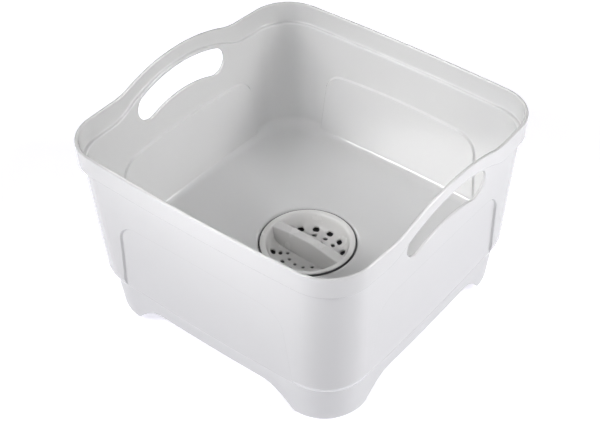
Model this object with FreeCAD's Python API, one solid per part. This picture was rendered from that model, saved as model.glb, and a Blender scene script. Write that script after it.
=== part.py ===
"""Square washing-up bowl on four feet, with a lift-out twist-to-drain strainer.

Millimetres, +Z up, origin at the centre of the footprint on the standing plane.
The two raised handles are on the -X and +X walls.
"""
import math
import os

import FreeCAD
import Part

V = FreeCAD.Vector
UP = V(0, 0, 1)

# ---- bowl body ---------------------------------------------------------
RIM_HALF = 155.0          # half width of the rim, measured at mid side
RIM_Z = 195.0             # rim height away from the handles
HUMP_RISE = 14.0          # extra height of the rim over each handle
HUMP_CROWN_R = 190.0
HUMP_TOE_R = 60.0
SIDE_R = 2450.0           # every wall is slightly bowed outwards
CORNER_R = 42.0           # corner radius in plan
RIM_WALL = 3.0
RIM_ROUND = 1.2
BAND_ROUND = 1.3
BAND_Z = 174.0            # lower edge of the rim band at the corners
BAND_RISE = 22.0          # the band edge climbs over each handle opening
BAND_CROWN_R = 150.0
BAND_TOE_R = 45.0
WALL = 2.8
SEAM_Z = 48.0             # joint between the bowl and its base ring
WALL_LOW = 145.4          # outer half width just above the seam
WALL_HIGH = 151.2         # outer half width just below the band
FLOOR_Z = 55.5
FLOOR_T = 3.0
FLOOR_FILLET = 10.0
TOP_Z = 214.0             # working height of the shell before the rim is trimmed

# ---- wall panels -------------------------------------------------------
PANEL_DEPTH = 1.9
PANEL_HALF_LOW = 102.5
PANEL_HALF_HIGH = 92.5
PANEL_TOP = 132.0
PANEL_CORNER = 24.0
PANEL_SIDE = 1.5          # how far the sides of a panel lean over its depth
PANEL_PLANE = 147.0       # where the panel outline has its nominal size
PANEL_SHIFT = 0.4         # how much larger the panel is on the inside

# ---- handle openings ---------------------------------------------------
SLOT_Z = 178.0
SLOT_BEND_R = 130.0
SLOT_HALF_H = 14.0
SLOT_REACH = 44.0
SLOT_ROUND = 1.1

# ---- base ring ---------------------------------------------------------
SKIRT_TOP = 141.0
SKIRT_FOOT = 138.0
SKIRT_WALL = 3.0
ARCH_Z = 28.0
ARCH_HALF = 60.0
FOOT_HALF = 97.5
FOOT_CLEAR = 0.4
PAD_T = 1.9
SCREW_POS = 112.0
PAD_POS = 108.5

# ---- drain -------------------------------------------------------------
WELL_R = 46.7
WELL_WALL = 3.0
WELL_BOTTOM = 26.0
WELL_LEDGE_T = 3.0
WELL_HOLE_R = 39.0
SEAT_R = 44.6
SEAT_Z = 29.0
SEAT_T = 3.0
SHUTTER_R = 42.6
SHUTTER_Z = 32.8
SHUTTER_T = 2.6
CUP_R = 45.4
CUP_TOP = 54.3
CUP_LIP_R = 41.4
DISH_LOW = 37.6
CUP_T = 1.6
BAR_ANGLE = -1.5
BAR_CROWN = 3.3           # how far the middle of the bar stands above the lip
BAR_ARC_R = 210.0
HOLE_STEP = 26.0          # angle between neighbouring drain holes
SEAL_T = 0.95
BAR_ROUND = 1.3
PORT_DEG = 78.0


def side_sections(half_x, half_y, corner_r):
    """Return the centre of the corner arc that meets both bowed sides smoothly."""
    cx = half_x - corner_r
    cy = half_y - corner_r
    for _ in range(40):
        cx = half_x - SIDE_R + math.sqrt((SIDE_R - corner_r) ** 2 - cy ** 2)
        cy = half_y - SIDE_R + math.sqrt((SIDE_R - corner_r) ** 2 - cx ** 2)
    return cx, cy


def outline(half, corner_r, z, half_y=None):
    """A square wire at height z with bowed sides and round corners."""
    hx = half
    hy = half if half_y is None else half_y
    cx, cy = side_sections(hx, hy, corner_r)
    dx = V(cx - (hx - SIDE_R), cy, 0).normalize()
    dy = V(cx, cy - (hy - SIDE_R), 0).normalize()
    centre = V(cx, cy, 0)
    on_x = centre + dx * corner_r
    on_y = centre + dy * corner_r
    mid = centre + (dx + dy).normalize() * corner_r

    def at(p, sx, sy):
        return V(p.x * sx, p.y * sy, z)

    edges = [
        Part.Arc(at(on_x, 1, -1), V(hx, 0, z), at(on_x, 1, 1)).toShape(),
        Part.Arc(at(on_x, 1, 1), at(mid, 1, 1), at(on_y, 1, 1)).toShape(),
        Part.Arc(at(on_y, 1, 1), V(0, hy, z), at(on_y, -1, 1)).toShape(),
        Part.Arc(at(on_y, -1, 1), at(mid, -1, 1), at(on_x, -1, 1)).toShape(),
        Part.Arc(at(on_x, -1, 1), V(-hx, 0, z), at(on_x, -1, -1)).toShape(),
        Part.Arc(at(on_x, -1, -1), at(mid, -1, -1), at(on_y, -1, -1)).toShape(),
        Part.Arc(at(on_y, -1, -1), V(0, -hy, z), at(on_y, 1, -1)).toShape(),
        Part.Arc(at(on_y, 1, -1), at(mid, 1, -1), at(on_x, 1, -1)).toShape(),
    ]
    return Part.Wire(edges)


def tower(rows, inset=0.0):
    """A solid through square outlines given as (z, half width) rows."""
    wires = []
    for z, half in rows:
        radius = CORNER_R - inset
        wires.append(outline(half - inset, max(radius, 12.0), z))
    return Part.makeLoft(wires, True, True)


def wall_half(z):
    """Outer half width of the drafted wall at height z."""
    draft = (WALL_HIGH - WALL_LOW) / (BAND_Z - SEAM_Z)
    return WALL_LOW + draft * (z - SEAM_Z)


def along(profile, axis, start, length):
    """Extrude a closed (s, z) profile along X or Y from start over length."""
    pts = []
    for s, z in profile:
        pts.append(V(start, s, z) if axis == "x" else V(s, start, z))
    face = Part.Face(Part.makePolygon(pts + [pts[0]]))
    step = V(length, 0, 0) if axis == "x" else V(0, length, 0)
    return face.extrude(step)


def swept_face(edges, axis, start, length):
    """Extrude a closed list of edges drawn in the (s, z) plane."""
    face = Part.Face(Part.Wire(Part.__sortEdges__(edges)))
    if axis == "x":
        face = face.copy()
        turn = FreeCAD.Matrix(0, 0, 1, start, 1, 0, 0, 0, 0, 1, 0, 0, 0, 0, 0, 1)
        face = face.transformGeometry(turn)
        return face.extrude(V(length, 0, 0))
    turn = FreeCAD.Matrix(1, 0, 0, 0, 0, 0, -1, start, 0, 1, 0, 0, 0, 0, 0, 1)
    face = face.transformGeometry(turn)
    return face.extrude(V(0, length, 0))


def hump_edges(base, rise, crown_r, toe_r, reach):
    """Crown arc over the handle with a toe arc on each side, as (s, z) edges."""
    toe_s = math.sqrt((crown_r + toe_r) ** 2 - (crown_r - rise + toe_r) ** 2)
    share = crown_r / (crown_r + toe_r)
    join_s = toe_s * share
    low = base + rise - crown_r
    join_z = low + (crown_r - rise + toe_r) * share
    half_a = math.atan2(toe_s, crown_r - rise + toe_r) / 2.0
    toe_mid = V(toe_s - toe_r * math.sin(half_a), base + toe_r * (1 - math.cos(half_a)), 0)
    edges = []
    crown = Part.Arc(V(-join_s, join_z, 0), V(0, base + rise, 0), V(join_s, join_z, 0))
    edges.append(crown.toShape())
    for side in (-1, 1):
        foot = V(side * toe_s, base, 0)
        mid = V(side * toe_mid.x, toe_mid.y, 0)
        edges.append(Part.Arc(V(side * join_s, join_z, 0), mid, foot).toShape())
        edges.append(Part.makeLine(foot, V(side * reach, base, 0)))
    return edges


def region_above(base, rise, crown_r, toe_r):
    """Everything above a humped profile that runs along X."""
    reach = 200.0
    edges = hump_edges(base, rise, crown_r, toe_r, reach)
    roof = TOP_Z + 30.0
    edges.append(Part.makeLine(V(-reach, base, 0), V(-reach, roof, 0)))
    edges.append(Part.makeLine(V(reach, base, 0), V(reach, roof, 0)))
    edges.append(Part.makeLine(V(-reach, roof, 0), V(reach, roof, 0)))
    return swept_face(edges, "x", -200.0, 400.0)


def arch_wire(axis, offset, grow):
    """Arch-topped outline of a wall panel, drawn on the plane at the given offset."""
    low = PANEL_HALF_LOW + grow
    high = PANEL_HALF_HIGH + grow
    top = PANEL_TOP + grow
    r = PANEL_CORNER + grow
    floor = SEAM_Z - 12.0
    knee = top - r
    k = math.sqrt(0.5)

    def at(side, z):
        return V(offset, side, z) if axis == "x" else V(side, offset, z)

    return Part.Wire([
        Part.makeLine(at(-low, floor), at(low, floor)),
        Part.makeLine(at(low, floor), at(high, knee)),
        Part.Arc(at(high, knee), at(high - r + r * k, knee + r * k), at(high - r, top)).toShape(),
        Part.Arc(at(high - r, top), at(0, top + 1.5), at(r - high, top)).toShape(),
        Part.Arc(at(r - high, top), at(r - high - r * k, knee + r * k), at(-high, knee)).toShape(),
        Part.makeLine(at(-high, knee), at(-low, floor)),
    ])


def panel_recess(axis, sign, grow, wall):
    """Block that sinks one panel: sloped arch sides, and a back parallel to the wall."""
    near = PANEL_PLANE - 14.0
    far = PANEL_PLANE + 14.0
    slope = PANEL_SIDE / PANEL_DEPTH
    arch = Part.makeLoft([
        arch_wire(axis, sign * near, grow - slope * 14.0),
        arch_wire(axis, sign * far, grow + slope * 14.0),
    ], True, True)
    rows = [(SEAM_Z - 15, wall_half(SEAM_Z - 15)), (TOP_Z, wall_half(TOP_Z))]
    backing = tower(rows, PANEL_DEPTH + wall)
    return arch.cut(backing)


def slot_edges():
    """Outline of one bean-shaped handle opening in the (y, z) plane."""
    mid_z = SLOT_Z - SLOT_BEND_R
    tilt = math.asin(SLOT_REACH / SLOT_BEND_R)
    outer = SLOT_BEND_R + SLOT_HALF_H
    inner = SLOT_BEND_R - SLOT_HALF_H

    def at(radius, angle):
        return V(radius * math.sin(angle), mid_z + radius * math.cos(angle), 0)

    edges = [
        Part.Arc(at(outer, -tilt), at(outer, 0), at(outer, tilt)).toShape(),
        Part.Arc(at(inner, -tilt), at(inner, 0), at(inner, tilt)).toShape(),
    ]
    for side in (-1, 1):
        end = at(SLOT_BEND_R, side * tilt)
        away = V(side * math.cos(tilt), -math.sin(tilt), 0)
        tip = end + away * SLOT_HALF_H
        edges.append(Part.Arc(at(outer, side * tilt), tip, at(inner, side * tilt)).toShape())
    return edges


def ring(r_out, r_in, z0, z1):
    outer = Part.makeCylinder(r_out, z1 - z0, V(0, 0, z0))
    return outer.cut(Part.makeCylinder(r_in, z1 - z0 + 2, V(0, 0, z0 - 1)))


def revolve(points):
    """Revolve a closed (r, z) polygon about Z."""
    pts = [V(r, 0, z) for r, z in points]
    face = Part.Face(Part.makePolygon(pts + [pts[0]]))
    return face.revolve(V(0, 0, 0), UP, 360)


def corners(reach):
    return [(sx * reach, sy * reach) for sx in (-1, 1) for sy in (-1, 1)]


def banded(wall, band):
    """Fuse the rim band to a wall solid and round both edges of its ledge."""
    above = region_above(BAND_Z, BAND_RISE, BAND_CROWN_R, BAND_TOE_R)
    body = wall.fuse(band.common(above)).removeSplitter()
    ledge = [e for e in body.Edges if follows(e, BAND_Z, BAND_RISE, BAND_CROWN_R, BAND_TOE_R)]
    return body.makeFillet(BAND_ROUND, [e for e in ledge if not crosswise(e)])


def shell_outer():
    """Outside of the bowl: hem, drafted wall and the rim band that stands out from it."""
    wall = tower([
        (SEAM_Z, WALL_LOW - 3.2),
        (SEAM_Z + 0.9, WALL_LOW - 2.1),
        (SEAM_Z + 2.3, WALL_LOW - 1.1),
        (SEAM_Z + 4.6, WALL_LOW - 0.3),
        (SEAM_Z + 8.0, wall_half(SEAM_Z + 8.0)),
        (TOP_Z, wall_half(TOP_Z)),
    ])
    band = tower([(BAND_Z - 20, RIM_HALF - 0.6), (TOP_Z, RIM_HALF + 0.3)])
    body = banded(wall, band)
    for axis in ("x", "y"):
        for sign in (-1, 1):
            body = body.cut(panel_recess(axis, sign, 0.0, 0.0))
    return body


def shell_inner():
    """Inside of the bowl as a solid to remove."""
    r = FLOOR_FILLET
    low = wall_half(FLOOR_Z + r)
    rows = []
    for step in range(9):
        a = math.radians(11.25 * step)
        rows.append((FLOOR_Z + r - r * math.cos(a), low - r + r * math.sin(a)))
    rows.append((TOP_Z + 2, wall_half(TOP_Z + 2)))
    band = tower([(BAND_Z - 20, RIM_HALF - 0.6), (TOP_Z + 2, RIM_HALF + 0.3)], RIM_WALL)
    body = banded(tower(rows, WALL), band)
    for axis in ("x", "y"):
        for sign in (-1, 1):
            body = body.cut(panel_recess(axis, sign, PANEL_SHIFT, WALL))
    return body


def middle(edge):
    """Point half way along an edge."""
    return edge.valueAt((edge.FirstParameter + edge.LastParameter) / 2.0)


def hump_height(y, base, rise, crown_r, toe_r):
    """Height of a humped profile at distance y from the middle of the wall."""
    toe_s = math.sqrt((crown_r + toe_r) ** 2 - (crown_r - rise + toe_r) ** 2)
    join_s = toe_s * crown_r / (crown_r + toe_r)
    y = abs(y)
    if y <= join_s:
        return base + rise - crown_r + math.sqrt(crown_r ** 2 - y ** 2)
    if y <= toe_s:
        return base + toe_r - math.sqrt(toe_r ** 2 - (toe_s - y) ** 2)
    return base


def follows(edge, base, rise, crown_r, toe_r):
    """True if an edge runs along a humped profile."""
    for k in (0.15, 0.5, 0.85):
        p = edge.valueAt(edge.FirstParameter + k * (edge.LastParameter - edge.FirstParameter))
        if abs(p.z - hump_height(p.y, base, rise, crown_r, toe_r)) > 0.05:
            return False
    return True


def crosswise(edge):
    """True for a short edge that runs through the thickness of a wall."""
    step = edge.valueAt(edge.LastParameter) - edge.valueAt(edge.FirstParameter)
    if step.Length > 5.0:
        return False
    mid = middle(edge)
    normal = V(1, 0, 0) if abs(mid.x) > abs(mid.y) else V(0, 1, 0)
    return abs(step.dot(normal)) > 0.8 * step.Length


def around_slot(edge):
    """True if an edge belongs to the rim of a handle opening."""
    mid_z = SLOT_Z - SLOT_BEND_R
    tilt = math.asin(SLOT_REACH / SLOT_BEND_R)
    for k in (0.1, 0.5, 0.9):
        p = edge.valueAt(edge.FirstParameter + k * (edge.LastParameter - edge.FirstParameter))
        if abs(p.x) < 130.0:
            return False
        angle = math.atan2(abs(p.y), p.z - mid_z)
        angle = min(angle, tilt)
        cy = SLOT_BEND_R * math.sin(angle)
        cz = mid_z + SLOT_BEND_R * math.cos(angle)
        if abs(math.hypot(abs(p.y) - cy, p.z - cz) - SLOT_HALF_H) > 0.05:
            return False
    return True


def make_basin():
    body = shell_outer().cut(shell_inner())
    body = body.cut(region_above(RIM_Z, HUMP_RISE, HUMP_CROWN_R, HUMP_TOE_R))
    for start in (130.0, -170.0):
        body = body.cut(swept_face(slot_edges(), "x", start, 40.0))
    body = body.removeSplitter()
    rim = [e for e in body.Edges if follows(e, RIM_Z, HUMP_RISE, HUMP_CROWN_R, HUMP_TOE_R)]
    body = body.makeFillet(RIM_ROUND, rim)
    slots = [e for e in body.Edges if around_slot(e)]
    body = body.makeFillet(SLOT_ROUND, slots)
    under = tower([(SEAM_Z - 2, 138.6), (FLOOR_Z - FLOOR_T, 138.6)])
    body = body.cut(under)
    well = Part.makeCylinder(WELL_R + WELL_WALL, FLOOR_Z - 1 - WELL_BOTTOM, V(0, 0, WELL_BOTTOM))
    body = body.fuse(well)
    for x, y in corners(SCREW_POS):
        boss = Part.makeCylinder(5.0, FLOOR_Z - 1 - 44.3, V(x, y, 44.3))
        body = body.fuse(boss)
        body = body.cut(Part.makeCylinder(1.6, 7.5, V(x, y, 44.0)))
    mouth = revolve([
        (0, WELL_BOTTOM + WELL_LEDGE_T), (WELL_R, WELL_BOTTOM + WELL_LEDGE_T),
        (WELL_R, CUP_TOP - 3.2), (WELL_R + 0.25, CUP_TOP - 2.0), (WELL_R + 0.9, CUP_TOP - 0.9),
        (WELL_R + 2.0, CUP_TOP - 0.2), (WELL_R + 3.4, CUP_TOP + 0.1),
        (95.0, FLOOR_Z), (95.0, FLOOR_Z + 1), (0, FLOOR_Z + 1),
    ])
    body = body.cut(mouth)
    body = body.cut(Part.makeCylinder(WELL_HOLE_R, 12, V(0, 0, WELL_BOTTOM - 2)))
    for angle in (45, 135, 225, 315):
        notch = Part.makeBox(6.4, 8.4, 12, V(WELL_HOLE_R - 3, -4.2, WELL_BOTTOM - 2))
        notch.rotate(V(0, 0, 0), UP, angle)
        body = body.cut(notch)
    return body.removeSplitter()


def arch_prism(axis):
    """Gap between two feet, cut right through the base ring."""
    s = FOOT_HALF
    edges = [
        Part.makeLine(V(-s - 14, -5, 0), V(s + 14, -5, 0)),
    ]
    for side in (-1, 1):
        toe = V(side * (s + 2), 0.0, 0)
        knee = V(side * (s - 7), 6.5, 0)
        rise = V(side * (ARCH_HALF + 12), 24.0, 0)
        top = V(side * (ARCH_HALF - 4), ARCH_Z, 0)
        edges.append(Part.makeLine(V(side * (s + 14), -5, 0), V(side * (s + 14), -0.001, 0)))
        edges.append(Part.makeLine(V(side * (s + 14), -0.001, 0), toe))
        curve = Part.BSplineCurve()
        curve.interpolate([toe, knee, rise, top], InitialTangent=V(-side, 0.15, 0),
                          FinalTangent=V(-side, 0, 0), Scale=True)
        edges.append(curve.toShape())
    edges.append(Part.makeLine(V(-(ARCH_HALF - 4), ARCH_Z, 0), V(ARCH_HALF - 4, ARCH_Z, 0)))
    return swept_face(edges, axis, -190.0, 380.0)


def make_base_skirt():
    """Base ring with four feet, an inner flange for the screws and a sole in each foot."""
    outer = tower([
        (FOOT_CLEAR, SKIRT_FOOT - 4.6), (1.0, SKIRT_FOOT - 3.3), (2.1, SKIRT_FOOT - 1.9),
        (3.8, SKIRT_FOOT - 0.7), (6.5, SKIRT_FOOT),
        (SEAM_Z - 0.9, SKIRT_TOP), (SEAM_Z - 0.2, SKIRT_TOP - 0.7),
    ])
    hollow = tower([(-1.0, SKIRT_FOOT - 0.2), (SEAM_Z + 1.0, SKIRT_TOP)], SKIRT_WALL)
    body = outer.cut(hollow)
    sole = outer.common(Part.makeBox(400, 400, 3.2, V(-200, -200, 0)))
    sole = sole.cut(outline_block(108.0, 30.0, -1.0, 6.0))
    body = body.fuse(sole)
    flange = outer.common(Part.makeBox(400, 400, 3.0, V(-200, -200, 41.0)))
    flange = flange.cut(outline_block(124.0, 30.0, 40.0, 46.0))
    body = body.fuse(flange)
    for x, y in corners(SCREW_POS):
        tab = Part.makeCylinder(8.5, 3.0, V(x, y, 41.0))
        arm = Part.makeBox(24.0, 17.0, 3.0, V(0, -8.5, 41.0))
        arm.rotate(V(0, 0, 0), UP, math.degrees(math.atan2(y, x)))
        arm.translate(V(x, y, 0))
        body = body.fuse(tab.fuse(arm.common(outer)))
    for axis in ("x", "y"):
        body = body.cut(arch_prism(axis))
    for x, y in corners(SCREW_POS):
        body = body.cut(Part.makeCylinder(2.1, 8, V(x, y, 38)))
    for x, y in corners(PAD_POS):
        body = body.cut(Part.makeCylinder(8.2, PAD_T + 1, V(x, y, -1)))
    return body.removeSplitter()


def outline_block(half, corner_r, z0, z1):
    return Part.makeLoft([outline(half, corner_r, z0), outline(half, corner_r, z1)], True, True)


def make_pad(x, y):
    pad = Part.makeCylinder(7.8, PAD_T, V(x, y, 0))
    return pad.makeFillet(0.4, [pad.Edges[0], pad.Edges[2]])


def make_base_screws():
    """Four pan-head screws that hold the base ring to the bosses of the bowl."""
    screws = []
    for x, y in corners(SCREW_POS):
        shank = Part.makeCylinder(1.5, 9.0, V(x, y, 41.0))
        head = Part.makeCylinder(3.4, 1.9, V(x, y, 39.1))
        head = head.makeFillet(0.7, [head.Edges[2]])
        body = shank.fuse(head)
        for turn in (0, 90):
            slot = Part.makeBox(3.6, 0.8, 1.2, V(-1.8, -0.4, 0))
            slot.rotate(V(0, 0, 0), UP, turn)
            slot.translate(V(x, y, 38.9))
            body = body.cut(slot)
        screws.append(body)
    return Part.makeCompound(screws)


def sector(r_in, r_out, mid_deg, span_deg, z0, z1):
    """A ring sector, used for the drain ports."""
    part = ring(r_out, r_in, z0, z1)
    wedge = Part.makeCylinder(r_out + 5, z1 - z0, V(0, 0, z0), UP, span_deg)
    wedge.rotate(V(0, 0, 0), UP, mid_deg - span_deg / 2.0)
    return part.common(wedge)


def cut_ports(body, first_deg, z0, z1):
    for k in range(2):
        body = body.cut(sector(12.0, 36.0, first_deg + 180.0 * k, PORT_DEG, z0, z1))
    return body


def make_seat_plate():
    """Fixed port plate with an upstand that carries the o-ring and four keys."""
    body = revolve([
        (2.4, SEAT_Z), (SEAT_R, SEAT_Z), (SEAT_R, SEAT_Z + 1.0), (SEAT_R - 1.1, SEAT_Z + 1.0),
        (SEAT_R - 1.1, SEAT_Z + 2.8), (SEAT_R, SEAT_Z + 2.8), (SEAT_R, SEAT_Z + 3.8),
        (SEAT_R - 1.6, SEAT_Z + 3.8), (SEAT_R - 1.6, SEAT_Z + SEAT_T), (2.4, SEAT_Z + SEAT_T),
    ])
    boss = ring(7.0, 2.4, SEAT_Z - 2.5, SEAT_Z)
    body = body.fuse(boss)
    for angle in (45, 135, 225, 315):
        key = Part.makeBox(5.0, 7.6, 2.6, V(WELL_HOLE_R - 2.2, -3.8, SEAT_Z - 2.5))
        key.rotate(V(0, 0, 0), UP, angle)
        body = body.fuse(key)
    body = cut_ports(body, 90.0, SEAT_Z - 4, SEAT_Z + 6)
    return body.removeSplitter()


def make_seat_o_ring():
    """Seal between the port plate and the wall of the well."""
    return Part.makeTorus(SEAT_R - 0.05, 0.85, V(0, 0, SEAT_Z + 1.9))


def make_seat_gasket():
    """Thin face seal lying on the port plate under the shutter."""
    z = SEAT_Z + SEAT_T
    body = ring(41.4, 9.0, z, z + 0.7)
    body = cut_ports(body, 90.0, z - 1, z + 2)
    return body.removeSplitter()


def make_valve_disc():
    """Rotary shutter: solid over the ports when closed, open after a quarter turn."""
    z = SEAT_Z + SEAT_T + 0.8
    body = ring(SHUTTER_R - 0.6, 2.15, z, z + SHUTTER_T)
    body = body.fuse(ring(7.5, 2.15, z, z + 3.2))
    body = cut_ports(body, 0.0, z - 1, z + 8)
    for angle in (60, 120, 240, 300):
        lug = Part.makeBox(3.0, 6.0, 3.2, V(38.0, -3.0, z))
        lug.rotate(V(0, 0, 0), UP, angle)
        body = body.fuse(lug)
    return body.removeSplitter()


def dish_curve(offset):
    """Half section of the dish surface, moved outwards by the offset."""
    line = Part.BSplineCurve()
    line.interpolate([
        V(0, 0, DISH_LOW), V(14, 0, DISH_LOW + 0.1), V(26, 0, DISH_LOW + 0.7),
        V(33, 0, DISH_LOW + 2.2), V(36.3, 0, DISH_LOW + 5.4), V(37.9, 0, DISH_LOW + 9.4),
        V(38.9, 0, DISH_LOW + 13.2), V(39.8, 0, CUP_TOP - 1.1), V(CUP_LIP_R, 0, CUP_TOP),
    ], InitialTangent=V(1, 0, 0), FinalTangent=V(1, 0, 0), Scale=True)
    if offset == 0:
        return line
    moved = []
    first = line.FirstParameter
    span = line.LastParameter - first
    for step in range(17):
        t = first + span * step / 16
        along_line = line.tangent(t)[0]
        moved.append(line.value(t) + V(along_line.z, 0, -along_line.x) * offset)
    outer = Part.BSplineCurve()
    outer.interpolate(moved, InitialTangent=V(1, 0, 0), FinalTangent=V(1, 0, 0), Scale=True)
    return outer


def spun(curves, points):
    """Turn a half section, made of curves joined by straight runs, round the Z axis."""
    edges = [c.toShape() for c in curves]
    for a, b in zip(points, points[1:]):
        edges.append(Part.makeLine(V(a[0], 0, a[1]), V(b[0], 0, b[1])))
    face = Part.Face(Part.Wire(Part.__sortEdges__(edges)))
    return face.revolve(V(0, 0, 0), UP, 360)


def plan_waist(mid, end, reach, z):
    """Closed outline of the grip bar in plan."""
    a = V(-reach, end, z)
    b = V(reach, end, z)
    c = V(reach, -end, z)
    d = V(-reach, -end, z)
    return Part.Wire([
        Part.Arc(a, V(0, mid, z), b).toShape(),
        Part.makeLine(b, c),
        Part.Arc(c, V(0, -mid, z), d).toShape(),
        Part.makeLine(d, a),
    ])


def make_bar():
    """Grip bar across the dish, with an arched, round-edged top and sides that widen downwards."""
    block = Part.makeLoft([plan_waist(8.0, 8.8, 44.0, 36.4), plan_waist(4.2, 4.6, 44.0, 59.0)], True, True)
    axis_z = CUP_TOP + BAR_CROWN - BAR_ARC_R
    block = block.common(Part.makeCylinder(BAR_ARC_R, 60, V(0, 30, axis_z), V(0, -1, 0)))
    crown = [e for e in block.Edges if e.Length > 60 and middle(e).z > CUP_TOP]
    block = block.makeFillet(BAR_ROUND, crown)
    mid_wall = dish_curve(CUP_T * 0.5)
    reach = CUP_LIP_R + 0.6
    low = mid_wall.value(mid_wall.FirstParameter)
    end = mid_wall.value(mid_wall.LastParameter)
    cavity = spun([mid_wall], [(end.x, end.z), (reach, end.z), (reach, 62), (0, 62), (0, low.z)])
    return block.common(cavity)


def make_strainer_cup():
    """Perforated dish with a flat lip, an outer sleeve and the grip bar, as one moulding."""
    inside = dish_curve(0)
    outside = dish_curve(CUP_T)
    low = outside.value(outside.FirstParameter)
    end = outside.value(outside.LastParameter)
    sleeve = CUP_R - 1.8
    body = spun([inside, outside], [
        (CUP_LIP_R, CUP_TOP), (CUP_R - 0.5, CUP_TOP), (CUP_R, CUP_TOP - 0.5), (CUP_R, CUP_TOP - 15.5),
        (sleeve, CUP_TOP - 15.5), (sleeve, end.z), (end.x, end.z),
    ])
    for base in (0, 180):
        for step in (-2, -1, 0, 1, 2):
            angle = base + 90 + step * HOLE_STEP
            body = body.cut(oval_hole(33.2, angle, 2.4, 1.1))
            body = body.cut(oval_hole(26.2, angle, 1.85, 0.7))
            body = body.cut(oval_hole(19.2, angle, 1.7, 0.0))
    body = body.fuse(make_bar())
    body = body.fuse(Part.makeCylinder(6.0, 2.4, V(0, 0, DISH_LOW - CUP_T)))
    body = body.cut(Part.makeCylinder(2.15, 13.5, V(0, 0, 34)))
    body.rotate(V(0, 0, 0), UP, BAR_ANGLE)
    return body.removeSplitter()


def oval_hole(radius, angle, hole_r, stretch):
    """Drain hole on a circle, drawn out along the circle by the stretch to each side."""
    low = DISH_LOW - 6.0
    hole = Part.makeCylinder(hole_r, 14, V(radius, stretch, low))
    if stretch > 0:
        hole = hole.fuse(Part.makeCylinder(hole_r, 14, V(radius, -stretch, low)))
        hole = hole.fuse(Part.makeBox(2 * hole_r, 2 * stretch, 14, V(radius - hole_r, -stretch, low)))
    hole.rotate(V(0, 0, 0), UP, angle)
    return hole


def make_rim_seal():
    """Soft ring round the lip of the strainer."""
    top = CUP_TOP - 0.5
    return revolve([
        (CUP_R, top - 3.2), (CUP_R + 0.5, top - 3.2), (CUP_R + SEAL_T, top - 1.5),
        (CUP_R + SEAL_T, top - 0.4), (CUP_R + SEAL_T - 0.3, top), (CUP_R, top),
    ])


def make_pivot_screw():
    """Screw from below that clamps port plate, shutter and dish together."""
    shank = Part.makeCylinder(2.1, 23.0, V(0, 0, 24.2))
    head = Part.makeCylinder(4.0, 2.6, V(0, 0, 21.6))
    head = head.makeFillet(0.6, [head.Edges[2]])
    body = shank.fuse(head)
    for turn in (0, 90):
        slot = Part.makeBox(4.2, 0.9, 1.6, V(-2.1, -0.45, 0))
        slot.rotate(V(0, 0, 0), UP, turn)
        slot.translate(V(0, 0, 21.4))
        body = body.cut(slot)
    return body


def make_spring_washer():
    """Conical washer that keeps the shutter pressed on its seat."""
    return revolve([(2.5, 24.8), (6.0, 25.6), (6.0, 26.2), (2.5, 25.4)])


def make_pivot_washer():
    """Flat washer between the screw head and the conical washer."""
    return ring(5.2, 2.25, 24.2, 24.8)


def main():
    os.makedirs("parts", exist_ok=True)
    parts = {
        "basin": make_basin(),
        "base_skirt": make_base_skirt(),
        "base_screws": make_base_screws(),
        "seat_plate": make_seat_plate(),
        "seat_o_ring": make_seat_o_ring(),
        "seat_gasket": make_seat_gasket(),
        "valve_disc": make_valve_disc(),
        "strainer_cup": make_strainer_cup(),
        "rim_seal": make_rim_seal(),
        "pivot_screw": make_pivot_screw(),
        "spring_washer": make_spring_washer(),
        "pivot_washer": make_pivot_washer(),
    }
    places = {"back_left": (-PAD_POS, PAD_POS), "back_right": (PAD_POS, PAD_POS),
              "front_left": (-PAD_POS, -PAD_POS), "front_right": (PAD_POS, -PAD_POS)}
    for place, (x, y) in places.items():
        parts["foot_pad_" + place] = make_pad(x, y)
    for name, shape in parts.items():
        box = shape.BoundBox
        print(name, shape.isValid(), len(shape.Solids), round(shape.Volume / 1000.0, 2),
              [round(v, 1) for v in (box.XMin, box.YMin, box.ZMin, box.XMax, box.YMax, box.ZMax)])
        shape.exportStep("parts/" + name + ".step")


main()
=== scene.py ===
import logging
import math
from dataclasses import dataclass, field
from enum import Enum

import bpy
from mathutils import Matrix, Vector


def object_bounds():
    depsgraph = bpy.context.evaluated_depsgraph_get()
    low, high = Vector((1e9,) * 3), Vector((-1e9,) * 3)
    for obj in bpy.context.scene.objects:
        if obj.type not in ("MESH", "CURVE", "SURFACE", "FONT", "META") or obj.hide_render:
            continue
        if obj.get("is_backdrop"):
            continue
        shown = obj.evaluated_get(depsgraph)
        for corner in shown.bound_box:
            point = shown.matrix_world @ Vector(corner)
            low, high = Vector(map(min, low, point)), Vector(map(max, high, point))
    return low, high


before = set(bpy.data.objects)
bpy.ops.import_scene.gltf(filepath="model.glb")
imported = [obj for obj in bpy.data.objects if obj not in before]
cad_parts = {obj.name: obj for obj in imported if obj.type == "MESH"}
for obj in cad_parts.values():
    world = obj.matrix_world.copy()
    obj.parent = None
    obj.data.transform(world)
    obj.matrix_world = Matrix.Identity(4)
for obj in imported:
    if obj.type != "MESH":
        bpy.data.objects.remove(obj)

logging.basicConfig(level=logging.INFO, format="%(message)s")
log = logging.getLogger("washing_up_bowl")

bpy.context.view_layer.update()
Triple = tuple[float, float, float]

NOISE_LOW = 0.3    # where the useful part of a noise starts
NOISE_HIGH = 0.7   # where it ends
EDGE_SAMPLES = 6
PLASTIC_IOR = 1.49
LACQUER_IOR = 1.5


class Slot(Enum):
    """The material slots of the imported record, each with one finish."""

    BOWL = "bowl_plastic"
    BASE = "base_plastic"
    STRAINER = "strainer_plastic"
    VALVE = "valve_plastic"
    SEAL = "seal_rubber"
    PAD = "pad_rubber"
    STEEL = "screw_steel"


# ---------------------------------------------------------------- finishes


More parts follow.
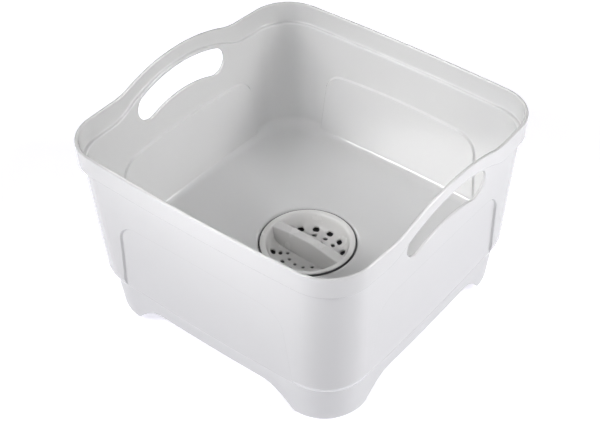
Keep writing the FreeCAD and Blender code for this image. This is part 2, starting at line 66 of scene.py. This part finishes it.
class Recipe:
    """Writes the node tree of one procedural material."""

    def __init__(self, name: str) -> None:
        """Start an empty material that ends in a Principled shader.

        Args:
            name: the material's name.
        """
        self.material = bpy.data.materials.new(name)
        self.material.use_nodes = True
        self.tree = self.material.node_tree
        self.shader = next(n for n in self.tree.nodes if n.type == "BSDF_PRINCIPLED")
        self.place = self.add("ShaderNodeTexCoord").outputs["Object"]

    def add(self, kind: str, **settings: object) -> bpy.types.Node:
        """Add a node.

        Args:
            kind: Blender's name for the node type.
            settings: attributes of the node to set.

        Returns:
            The new node.
        """
        node = self.tree.nodes.new(kind)
        for key, value in settings.items():
            setattr(node, key, value)
        return node

    def link(self, source: bpy.types.NodeSocket, target: bpy.types.NodeSocket) -> None:
        """Connect one socket to another."""
        self.tree.links.new(source, target)

    def noise(
        self, scale: float, detail: float = 3.0, stretch: Triple = (1, 1, 1)
    ) -> bpy.types.NodeSocket:
        """Add a noise that reads the piece's own place.

        Args:
            scale: cells per metre.
            detail: octaves of the noise.
            stretch: how much finer the pattern is along each axis.

        Returns:
            The noise's value socket.
        """
        mapping = self.add("ShaderNodeMapping")
        mapping.inputs["Scale"].default_value = stretch
        self.link(self.place, mapping.inputs["Vector"])
        node = self.add("ShaderNodeTexNoise")
        node.inputs["Scale"].default_value = scale
        node.inputs["Detail"].default_value = detail
        self.link(mapping.outputs["Vector"], node.inputs["Vector"])
        return node.outputs["Fac"]

    def remap(
        self, value: bpy.types.NodeSocket, middle: float, swing: float, extra: float = 0.0
    ) -> bpy.types.NodeSocket:
        """Stretch the useful part of a noise over a range.

        Args:
            value: a socket that holds 0 to 1.
            middle: result in the middle of the noise.
            swing: how far the result falls and rises from there.
            extra: how much further it rises than it falls.

        Returns:
            The remapped socket.
        """
        node = self.add("ShaderNodeMapRange")
        node.inputs["From Min"].default_value = NOISE_LOW
        node.inputs["From Max"].default_value = NOISE_HIGH
        node.inputs["To Min"].default_value = middle - swing
        node.inputs["To Max"].default_value = middle + swing + extra
        self.link(value, node.inputs["Value"])
        return node.outputs["Result"]

    def tint(
        self, value: bpy.types.NodeSocket, dark: Triple, light: Triple
    ) -> bpy.types.NodeSocket:
        """Run a value through a two-colour ramp.

        Args:
            value: a socket that holds 0 to 1.
            dark: colour at the low end.
            light: colour at the high end.

        Returns:
            The ramp's colour socket.
        """
        ramp = self.add("ShaderNodeValToRGB")
        ends = ((NOISE_LOW, dark), (NOISE_HIGH, light))
        for element, (position, colour) in zip(ramp.color_ramp.elements, ends):
            element.position = position
            element.color = (*colour, 1.0)
        self.link(value, ramp.inputs["Fac"])
        return ramp.outputs["Color"]

    def relief(
        self, layers: list[tuple[bpy.types.NodeSocket, float]], edge: float = 0.0
    ) -> None:
        """Stack bump layers on the shader's normal.

        Args:
            layers: height sockets, each with its depth in metres.
            edge: radius in metres over which sharp edges catch the light.
        """
        normal = None
        if edge > 0:
            soft = self.add("ShaderNodeBevel", samples=EDGE_SAMPLES)
            soft.inputs["Radius"].default_value = edge
            normal = soft.outputs["Normal"]
        for height, depth in layers:
            bump = self.add("ShaderNodeBump")
            bump.inputs["Strength"].default_value = 1.0
            bump.inputs["Distance"].default_value = depth
            self.link(height, bump.inputs["Height"])
            if normal is not None:
                self.link(normal, bump.inputs["Normal"])
            normal = bump.outputs["Normal"]
        self.link(normal, self.shader.inputs["Normal"])


def shade(colour: Triple, factor: float) -> Triple:
    """Scale a colour, and hold it at white.

    Args:
        colour: red, green and blue.
        factor: what each is multiplied by.

    Returns:
        The scaled colour.
    """
    return tuple(min(1.0, channel * factor) for channel in colour)


@dataclass(frozen=True)
class MouldedPlastic:
    """Injection-moulded plastic: cloudy colour, faint flow lines and a fine tool grain.

    Scales are in cells per metre, and depths and the edge radius in metres.
    """

    name: str
    colour: Triple
    roughness: float
    cloud: float = 0.008
    cloud_scale: float = 16.0
    gloss_spread: float = 0.025
    gloss_scale: float = 38.0
    flow_scale: float = 22.0
    flow_stretch: Triple = (1.0, 1.0, 0.35)
    flow_depth: float = 0.000004
    grain_scale: float = 1400.0
    grain_depth: float = 0.000004
    edge: float = 0.0011
    lacquer: float = 0.0
    lacquer_roughness: float = 0.05

    def make(self) -> bpy.types.Material:
        """Return the finished material."""
        recipe = Recipe(self.name)
        sockets = recipe.shader.inputs
        dark = shade(self.colour, 1 - self.cloud)
        light = shade(self.colour, 1 + self.cloud)
        clouds = recipe.noise(self.cloud_scale, 4.0)
        recipe.link(recipe.tint(clouds, dark, light), sockets["Base Color"])
        gloss = recipe.remap(recipe.noise(self.gloss_scale, 5.0), self.roughness, self.gloss_spread)
        recipe.link(gloss, sockets["Roughness"])
        sockets["IOR"].default_value = PLASTIC_IOR
        sockets["Coat Weight"].default_value = self.lacquer
        sockets["Coat Roughness"].default_value = self.lacquer_roughness
        sockets["Coat IOR"].default_value = LACQUER_IOR
        flow = recipe.noise(self.flow_scale, 2.0, self.flow_stretch)
        grain = recipe.noise(self.grain_scale, 2.0)
        recipe.relief([(flow, self.flow_depth), (grain, self.grain_depth)], self.edge)
        return recipe.material


@dataclass(frozen=True)
class Rubber:
    """Matt elastomer with a fine pitted skin."""

    name: str
    colour: Triple
    roughness: float = 0.62
    cloud: float = 0.14
    cloud_scale: float = 160.0
    gloss_spread: float = 0.08
    gloss_scale: float = 240.0
    pit_scale: float = 2200.0
    pit_depth: float = 0.00004

    def make(self) -> bpy.types.Material:
        """Return the finished material."""
        recipe = Recipe(self.name)
        dark = shade(self.colour, 1 - self.cloud)
        light = shade(self.colour, 1 + self.cloud)
        clouds = recipe.noise(self.cloud_scale, 4.0)
        recipe.link(recipe.tint(clouds, dark, light), recipe.shader.inputs["Base Color"])
        gloss = recipe.remap(recipe.noise(self.gloss_scale), self.roughness, self.gloss_spread)
        recipe.link(gloss, recipe.shader.inputs["Roughness"])
        recipe.relief([(recipe.noise(self.pit_scale, 2.0), self.pit_depth)])
        return recipe.material


@dataclass(frozen=True)
class TurnedSteel:
    """Stainless steel with fine marks and slightly cloudy gloss."""

    name: str
    colour: Triple = (0.62, 0.62, 0.63)
    roughness: float = 0.28
    cloud: float = 0.12
    cloud_scale: float = 420.0
    gloss_spread: float = 0.08
    gloss_extra: float = 0.02
    gloss_scale: float = 900.0
    gloss_stretch: Triple = (1, 1, 6)
    mark_scale: float = 2600.0
    mark_stretch: Triple = (1, 1, 5)
    mark_depth: float = 0.00001

    def make(self) -> bpy.types.Material:
        """Return the finished material."""
        recipe = Recipe(self.name)
        sockets = recipe.shader.inputs
        dark = shade(self.colour, 1 - self.cloud)
        clouds = recipe.noise(self.cloud_scale, 4.0)
        recipe.link(recipe.tint(clouds, dark, self.colour), sockets["Base Color"])
        streaks = recipe.noise(self.gloss_scale, 3.0, self.gloss_stretch)
        gloss = recipe.remap(streaks, self.roughness, self.gloss_spread, self.gloss_extra)
        recipe.link(gloss, sockets["Roughness"])
        sockets["Metallic"].default_value = 1.0
        marks = recipe.noise(self.mark_scale, 2.0, self.mark_stretch)
        recipe.relief([(marks, self.mark_depth)])
        return recipe.material


FINISHES = {
    Slot.BOWL: MouldedPlastic("bowl_satin", (0.635, 0.634, 0.635), 0.20, lacquer=0.8),
    Slot.BASE: MouldedPlastic("base_satin", (0.700, 0.700, 0.704), 0.36),
    # The strainer's grey is lighter than its own plastic: part of it is painted light standing in
    # for fill light in the shaded well.
    Slot.STRAINER: MouldedPlastic("strainer_satin_lightened", (0.740, 0.732, 0.722), 0.26, lacquer=0.3),
    # Painted shade: the valve and seat plate are near-black so that the strainer holes above them
    # look dark; their own plastic is mid grey.
    Slot.VALVE: MouldedPlastic(
        "valve_matt_painted_shade", (0.10, 0.10, 0.105), 0.48, cloud=0.05, grain_depth=0.00003
    ),
    Slot.SEAL: Rubber("seal_silicone", (0.085, 0.085, 0.088)),
    Slot.PAD: Rubber("pad_elastomer", (0.30, 0.30, 0.31)),
    Slot.STEEL: TurnedSteel("screw_stainless"),
}


@dataclass
class Workshop:
    """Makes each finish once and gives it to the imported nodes."""

    made: dict[Slot, bpy.types.Material] = field(default_factory=dict)

    def prepare(self) -> None:
        """Make every finish."""
        for slot, finish in FINISHES.items():
            self.made[slot] = finish.make()

    def dress(self, node: str, slot: Slot) -> None:
        """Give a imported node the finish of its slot.

        Args:
            node: the node's name.
            slot: the slot whose finish it gets.
        """
        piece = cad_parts[node]
        piece.data.materials.clear()
        piece.data.materials.append(self.made[slot])
        log.info("dressed %s in %s", node, self.made[slot].name)


# ---------------------------------------------------------------- studio


@dataclass(frozen=True)
class Softbox:
    """One rectangular studio light aimed at a point; spread is its beam in degrees."""

    name: str
    place: Triple
    width: float
    height: float
    watts: float
    colour: Triple = (1.0, 1.0, 1.0)
    aim: Triple = (0.0, 0.0, 0.1)
    spread: float = 180.0

    def build(self) -> None:
        """Add the light."""
        data = bpy.data.lights.new(self.name, "AREA")
        data.shape = "RECTANGLE"
        data.size = self.width
        data.size_y = self.height
        data.energy = self.watts
        data.color = self.colour
        lamp = bpy.data.objects.new(self.name, data)
        bpy.context.scene.collection.objects.link(lamp)
        lamp.location = self.place
        data.spread = math.radians(self.spread)
        line = Vector(self.aim) - Vector(self.place)
        lamp.rotation_euler = line.to_track_quat("-Z", "Y").to_euler()
        lamp.visible_camera = False


SOFTBOXES = (
    Softbox("left_box", (-0.9, -1.55, 1.25), width=0.75, height=0.58, watts=19.0),
    Softbox("right_box", (1.65, 0.85, 1.15), width=0.75, height=0.58, watts=22.5),
    Softbox(
        "right_wall_fill", (0.59, 0.04, 0.61), width=0.20, height=0.14, watts=0.115,
        aim=(-0.15, -0.05, 0.14), spread=38.0,
    ),
    Softbox(
        "left_wall_fill", (-0.04, -0.59, 0.61), width=0.20, height=0.14, watts=0.235,
        aim=(0.05, 0.15, 0.14), spread=38.0,
    ),
    Softbox("top_box", (0.2, 0.1, 2.1), width=1.0, height=0.8, watts=2.0),
    Softbox("back_left_box", (-1.3, 0.2, 1.2), width=0.8, height=0.6, watts=3.0),
    Softbox("edge_strip", (-0.75, 1.05, 1.35), width=1.1, height=0.05, watts=1.6),
)


@dataclass
class Studio:
    """Pale floor, soft light and the camera; angles in degrees, lengths in metres."""

    floor_size: float = 14.0
    sky_colour: Triple = (0.97, 0.98, 1.0)
    sky_strength: float = 0.05
    floor_colour: float = 0.92
    floor_cloud: float = 0.01
    floor_cloud_scale: float = 3.0
    floor_roughness: float = 0.9
    floor_gloss: float = 0.1
    floor_glow: float = 0.54
    glow_colour: Triple = (0.97, 0.96, 1.05)
    lens: float = 74.67
    sensor: float = 36.0
    azimuth: float = 35.106
    elevation: float = 41.187
    roll: float = 1.85
    eye: Triple = (0.54633, -0.67322, 0.85118)
    shift: float = -0.12
    clip: tuple[float, float] = (0.05, 50.0)

    def build(self) -> None:
        """Set up the floor, the lights and the camera."""
        self.build_floor()
        self.build_sky()
        for lamp in SOFTBOXES:
            lamp.build()
        self.build_camera()

    def build_floor(self) -> None:
        """Add the pale floor."""
        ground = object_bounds()[0][2]
        bpy.ops.mesh.primitive_plane_add(size=self.floor_size, location=(0, 0, ground))
        floor = bpy.context.object
        floor.name = "studio_floor"
        recipe = Recipe("studio_white")
        white = (self.floor_colour,) * 3
        off_white = shade(white, 1 - self.floor_cloud)
        clouds = recipe.noise(self.floor_cloud_scale)
        sockets = recipe.shader.inputs
        recipe.link(recipe.tint(clouds, off_white, white), sockets["Base Color"])
        sockets["Roughness"].default_value = self.floor_roughness
        sockets["Specular IOR Level"].default_value = self.floor_gloss
        sockets["Emission Color"].default_value = (*self.glow_colour, 1.0)
        sockets["Emission Strength"].default_value = self.floor_glow
        floor.data.materials.append(recipe.material)
        floor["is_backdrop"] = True

    def build_sky(self) -> None:
        """Set an even, faintly cool surround."""
        world = bpy.data.worlds.new("studio_surround")
        world.use_nodes = True
        sky = next(n for n in world.node_tree.nodes if n.type == "BACKGROUND")
        sky.inputs["Color"].default_value = (*self.sky_colour, 1.0)
        sky.inputs["Strength"].default_value = self.sky_strength
        bpy.context.scene.world = world
        bpy.context.scene.view_settings.view_transform = "Standard"

    def build_camera(self) -> None:
        """Place the camera and make it the scene's own."""
        data = bpy.data.cameras.new("studio_camera")
        data.lens = self.lens
        data.sensor_width = self.sensor
        data.shift_x = self.shift
        data.clip_start, data.clip_end = self.clip
        camera = bpy.data.objects.new("studio_camera", data)
        bpy.context.scene.collection.objects.link(camera)
        az, el, roll = (math.radians(a) for a in (self.azimuth, self.elevation, self.roll))
        level = math.cos(el)
        back = Vector((math.sin(az) * level, -math.cos(az) * level, math.sin(el)))
        right = (-back).cross(Vector((0, 0, 1))).normalized()
        up = back.cross(right)
        turned_right = math.cos(roll) * right + math.sin(roll) * up
        turned_up = math.cos(roll) * up - math.sin(roll) * right
        turn = Matrix((turned_right, turned_up, back)).transposed()
        camera.matrix_world = Matrix.Translation(Vector(self.eye)) @ turn.to_4x4()
        bpy.context.scene.camera = camera


# ---------------------------------------------------------------- object


@dataclass
class Bowl:
    """The tub, its base ring, the screws between them and the foot pads."""

    workshop: Workshop
    pad_sides: tuple[str, ...] = ("back_left", "back_right", "front_left", "front_right")

    def build(self) -> None:
        """Dress the pieces of the bowl."""
        self.workshop.dress("basin", Slot.BOWL)
        self.workshop.dress("base_skirt", Slot.BASE)
        self.workshop.dress("base_screws", Slot.STEEL)
        for side in self.pad_sides:
            self.workshop.dress(f"foot_pad_{side}", Slot.PAD)


@dataclass
class Drain:
    """The lift-out drain cartridge: seat, valve, strainer and their fastenings."""

    workshop: Workshop
    seals: tuple[str, ...] = ("seat_o_ring", "seat_gasket", "rim_seal")
    fastenings: tuple[str, ...] = ("pivot_screw", "spring_washer", "pivot_washer")

    def build(self) -> None:
        """Dress the pieces of the drain."""
        # The seat plate and valve disc take the near-black finish, which is painted shade seen
        # through the strainer holes.
        self.workshop.dress("seat_plate", Slot.VALVE)
        self.workshop.dress("valve_disc", Slot.VALVE)
        self.workshop.dress("strainer_cup", Slot.STRAINER)
        for node in self.seals:
            self.workshop.dress(node, Slot.SEAL)
        for node in self.fastenings:
            self.workshop.dress(node, Slot.STEEL)


def main() -> None:
    """Build the studio and every piece of the object."""
    Studio().build()
    workshop = Workshop()
    workshop.prepare()
    Bowl(workshop).build()
    Drain(workshop).build()


if __name__ == "__main__":
    main()
